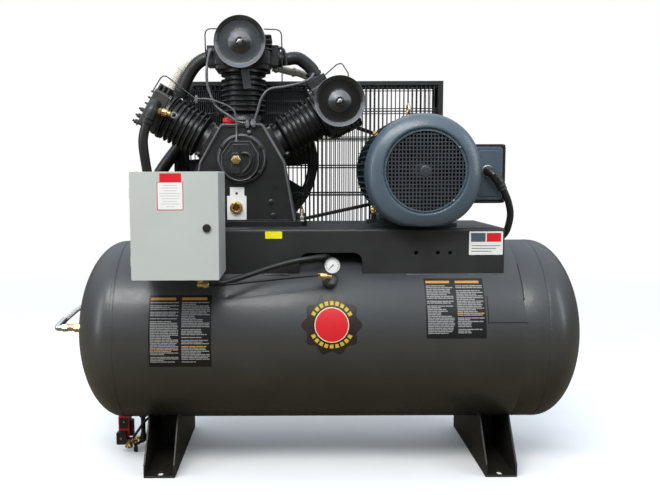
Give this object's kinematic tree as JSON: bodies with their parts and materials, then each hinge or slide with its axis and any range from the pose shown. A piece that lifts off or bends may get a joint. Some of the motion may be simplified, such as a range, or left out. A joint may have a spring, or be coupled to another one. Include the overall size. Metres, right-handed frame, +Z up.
{
  "type": "horizontal tank air compressor",
  "caption": "Horizontal-tank air compressor: W-type finned piston pump with round intake filters, caged belt drive, electric motor, hinged control box, gauge and drain valve.",
  "frame": {"origin": "on the floor, below the middle of the whole machine's bounding box", "axes": "+X along the tank towards the motor end, +Y from the control-box front to the belt guard, +Z up"},
  "size_m": [1.8345, 0.8093, 1.4915],
  "materials": {
    "black_paint": "satin powder coat",
    "cast_black": "satin black paint over cast surface",
    "blue_paint": "semi-gloss slate blue paint",
    "grey_paint": "fine-textured light grey powder coat",
    "bare_steel": "machined",
    "braided_steel": "woven wire braid",
    "brass": "turned and hexagonal fittings",
    "bare_aluminium": "machined",
    "black_rubber": "moulded, slightly dull",
    "black_plastic": "moulded",
    "red_plastic": "moulded"
  },
  "bodies": {
    "machine": {"tank_shell": "black_paint", "tank_foot_left": "black_paint", "tank_foot_right": "black_paint", "deck_plate": "black_paint", "motor_base": "black_paint", "belt_guard_casing": "black_paint", "belt_guard_front_grille": "black_paint", "filter_body_centre": "black_paint", "filter_body_right": "black_paint", "filter_cover_centre": "black_paint", "filter_cover_right": "black_paint", "crankcase": "cast_black", "bearing_cover_front": "cast_black", "bearing_cover_rear": "cast_black", "cylinder_left": "cast_black", "cylinder_centre": "cast_black", "cylinder_right": "cast_black", "cylinder_head_left": "cast_black", "cylinder_head_centre": "cast_black", "cylinder_head_right": "cast_black", "aftercooler": "cast_black", "motor_stator_frame": "blue_paint", "motor_fan_cover": "blue_paint", "motor_end_bell": "blue_paint", "junction_box": "blue_paint", "control_box": "grey_paint", "tank_inlet_hose": "braided_steel", "oil_sight_glass": "brass", "safety_valve_body": "brass", "gauge_manifold": "brass", "drain_valve_body": "brass", "v_belt_front": "black_rubber", "v_belt_back": "black_rubber", "intercooler_pipe_left": "black_rubber", "intercooler_pipe_right": "black_rubber", "discharge_hose": "black_rubber", "motor_cable": "black_rubber", "control_hose": "black_rubber", "unloader_line_left": "black_plastic", "unloader_line_right": "black_plastic", "motor_starter": "black_plastic", "pressure_gauge": "black_plastic", "oil_fill_cap": "red_plastic", "auto_drain": "red_plastic"},
    "crank": {"crankshaft": "bare_steel", "flywheel": "cast_black"},
    "motor_rotor": {"motor_shaft": "bare_steel", "motor_fan": "black_plastic", "motor_pulley": "cast_black"},
    "piston_rod_left": {"piston_left": "bare_aluminium", "connecting_rod_left": "bare_steel"},
    "piston_rod_centre": {"piston_centre": "bare_aluminium", "connecting_rod_centre": "bare_steel"},
    "piston_rod_right": {"piston_right": "bare_aluminium", "connecting_rod_right": "bare_steel"},
    "box_door": {"control_box_door": "grey_paint"},
    "latch": {"door_latch": "black_plastic"},
    "relief_ring": {"safety_valve_ring": "bare_steel"},
    "drain_lever": {"drain_valve_lever": "black_plastic"},
    "needle": {"gauge_needle": "black_plastic"}
  },
  "joints": [
    {"name": "crank_spin", "type": "hinge", "parent": "machine", "child": "crank", "pos_m": [-0.2205, 0.1545, 1.028], "axis": [0, 1, 0], "continuous": true},
    {"name": "motor_spin", "type": "hinge", "parent": "machine", "child": "motor_rotor", "pos_m": [0.3505, 0.0545, 0.993], "axis": [0, 1, 0], "continuous": true},
    {"name": "piston_left_stroke", "type": "slide", "parent": "machine", "child": "piston_rod_left", "axis": [-0.866, 0, 0.5], "range_m": [-0.0572, 0.0228]},
    {"name": "piston_centre_stroke", "type": "slide", "parent": "machine", "child": "piston_rod_centre", "axis": [0, 0, 1], "range_m": [-0.08, 0]},
    {"name": "piston_right_stroke", "type": "slide", "parent": "machine", "child": "piston_rod_right", "axis": [0.866, 0, 0.5], "range_m": [-0.0572, 0.0228]},
    {"name": "door_hinge", "type": "hinge", "parent": "machine", "child": "box_door", "pos_m": [-0.5215, -0.3815, 0.83], "axis": [0, 0, -1], "range_deg": [0, 120]},
    {"name": "latch_turn", "type": "hinge", "parent": "box_door", "child": "latch", "pos_m": [-0.2975, -0.3955, 0.827], "axis": [0, 1, 0], "range_deg": [0, 90]},
    {"name": "relief_ring_pull", "type": "slide", "parent": "machine", "child": "relief_ring", "axis": [0.9611, 0, -0.2764], "range_m": [0, 0.005]},
    {"name": "drain_lever_turn", "type": "hinge", "parent": "machine", "child": "drain_lever", "pos_m": [-0.6115, 0.0375, 0.038], "axis": [0, -1, 0], "range_deg": [0, 90]},
    {"name": "gauge_needle_turn", "type": "hinge", "parent": "machine", "child": "needle", "pos_m": [0.0715, -0.2315, 0.697], "axis": [0, 1, 0], "range_deg": [0, 270]}
  ],
  "couplings": [
    {"joint": "motor_spin", "follows": "crank_spin", "ratio": 2.5172}
  ]
}
